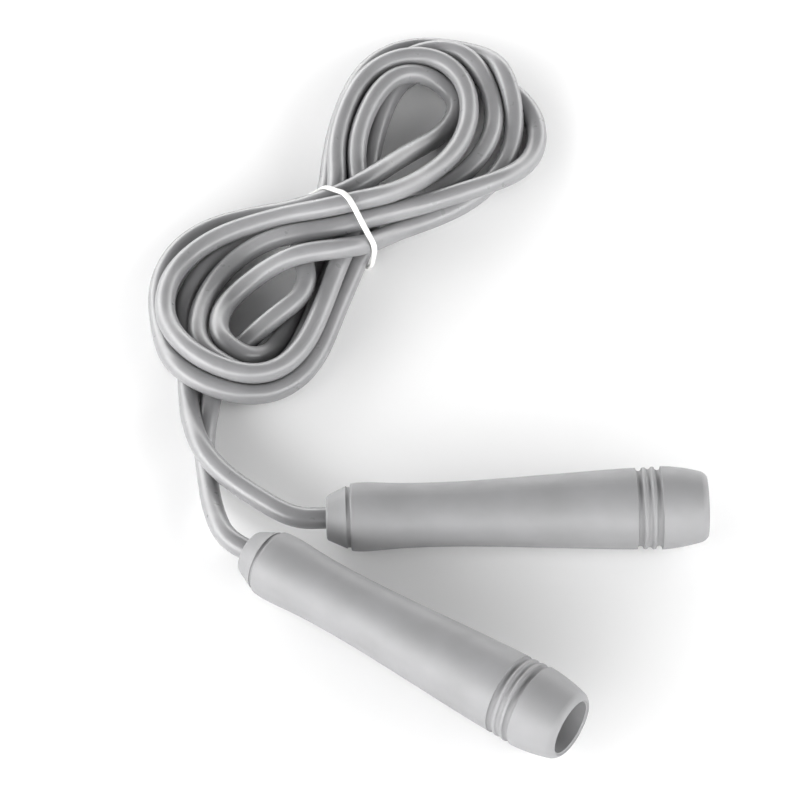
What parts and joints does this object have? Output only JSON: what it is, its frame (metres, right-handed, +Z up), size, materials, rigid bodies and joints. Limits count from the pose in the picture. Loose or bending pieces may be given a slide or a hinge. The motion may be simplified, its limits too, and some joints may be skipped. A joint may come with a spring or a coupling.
{
  "type": "jump rope",
  "caption": "Jump rope with hollow waisted plastic handles, their plastic cord wound into a figure-eight hank and tied with a rubber band.",
  "frame": {"origin": "on the floor under the middle of the box round the two handles", "axes": "+Z up from the floor; +X from the nose of handle A to its open end; +Y towards the hank of cord"},
  "size_m": [0.2214, 0.3909, 0.0329],
  "materials": {
    "handle_plastic": "grey moulded polypropylene, satin, slightly grained",
    "cord_pvc": "grey solid PVC cord, semi-gloss",
    "band_rubber": "white rubber band, satin",
    "nylon": "natural nylon, satin",
    "stop_metal": "crimped aluminium, satin"
  },
  "bodies": {
    "rope": {"rope_lead_a": "cord_pvc", "rope_lead_b": "cord_pvc", "rope_hank": "cord_pvc", "tie_band": "band_rubber", "cord_stop_a": "stop_metal", "cord_stop_b": "stop_metal"},
    "washer_a": {"thrust_washer_a": "nylon"},
    "handle_a": {"handle_grip_a": "handle_plastic", "nose_cap_a": "handle_plastic"},
    "washer_b": {"thrust_washer_b": "nylon"},
    "handle_b": {"handle_grip_b": "handle_plastic", "nose_cap_b": "handle_plastic"}
  },
  "joints": [
    {"name": "handle_a_slide", "type": "slide", "parent": "rope", "child": "washer_a", "axis": [-0.9997, 0, -0.0237], "range_m": [0, 0.006]},
    {"name": "handle_a_spin", "type": "hinge", "parent": "washer_a", "child": "handle_a", "pos_m": [-0.05186, 0.04944, 0.01346], "axis": [0.9997, 0, 0.0237], "continuous": true},
    {"name": "handle_b_slide", "type": "slide", "parent": "rope", "child": "washer_b", "axis": [-0.8047, 0.5933, -0.0237], "range_m": [0, 0.006]},
    {"name": "handle_b_spin", "type": "hinge", "parent": "washer_b", "child": "handle_b", "pos_m": [-0.08273, 0.02948, 0.01346], "axis": [0.8047, -0.5933, 0.0237], "continuous": true}
  ]
}
